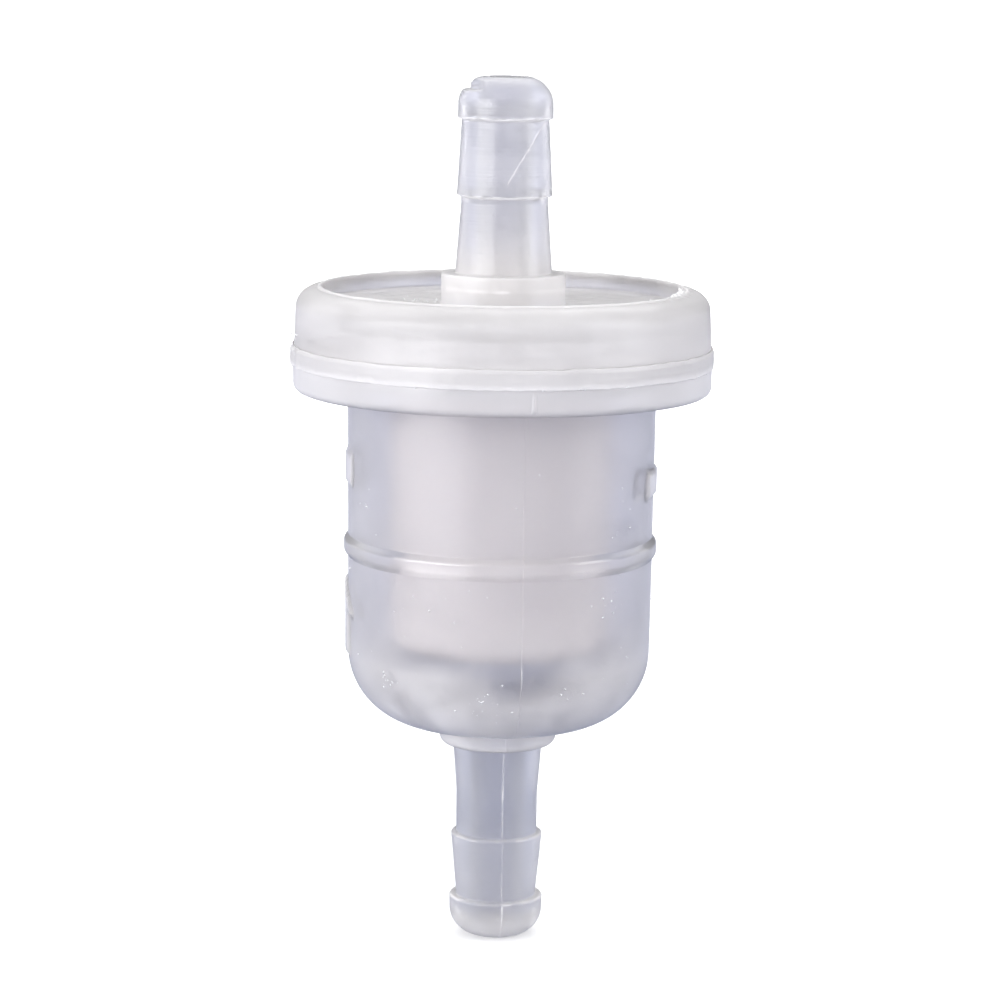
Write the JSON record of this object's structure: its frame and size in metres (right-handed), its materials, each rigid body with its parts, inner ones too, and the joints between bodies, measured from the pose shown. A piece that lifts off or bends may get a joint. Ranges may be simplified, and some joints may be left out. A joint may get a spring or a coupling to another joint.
{
  "type": "fuel filter",
  "caption": "In-line fuel filter with a round-bottomed translucent bowl, a wider welded cover and a hose barb at each end.",
  "frame": {"origin": "tip of the inlet barb, on the flow axis, which is also the middle of the bottom of the bounding box", "axes": "+Z along the flow axis from the inlet barb to the outlet barb; -Y is the front, 8.5 degrees from the mould's parting line; the flow arrow is on the -X side"},
  "size_m": [0.034, 0.034, 0.0703],
  "materials": {
    "housing": "milky translucent nylon, softly glossy",
    "cover": "milky translucent nylon, softly glossy",
    "weld": "melted nylon, glossy and uneven",
    "media": "matt pressed fibre",
    "inner_moulding": "satin moulded"
  },
  "bodies": {
    "root": {"lower_bowl": "housing", "upper_cover": "cover", "weld_bead": "weld", "filter_cup": "media", "cup_mouth_ring": "inner_moulding", "cup_support_cage": "inner_moulding"}
  },
  "joints": []
}
